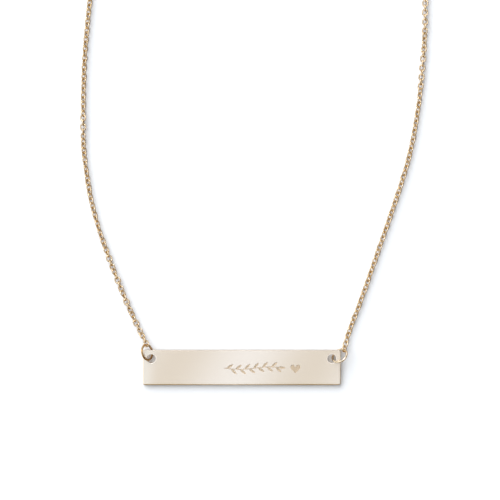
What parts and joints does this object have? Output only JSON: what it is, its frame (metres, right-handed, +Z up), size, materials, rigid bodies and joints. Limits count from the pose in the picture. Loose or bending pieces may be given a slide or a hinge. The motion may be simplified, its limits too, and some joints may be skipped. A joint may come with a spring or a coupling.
{
  "type": "nameplate necklace",
  "caption": "Necklace with a flat engraved bar hung by two jump rings from a fine cable chain that closes in a spring-ring clasp, laid flat as one whole loop.",
  "frame": {"origin": "on the table that the necklace lies on, under the middle of the whole loop's box", "axes": "+X to the wearer's left as the bar is read, from its left end to its right end; +Y up the loop from the bar to the clasp; +Z up from the table, out of the bar's engraved face"},
  "size_m": [0.0628, 0.1748, 0.0025],
  "materials": {
    "plate_gold": "polished pale gold",
    "chain_gold": "polished gold wire",
    "clasp_gold": "polished gold"
  },
  "bodies": {
    "root": {"nameplate": "plate_gold", "jump_ring_left": "chain_gold", "jump_ring_right": "chain_gold", "chain_left": "chain_gold", "chain_right": "chain_gold", "end_ring": "chain_gold", "clasp": "clasp_gold", "clasp_ring": "chain_gold"}
  },
  "joints": []
}
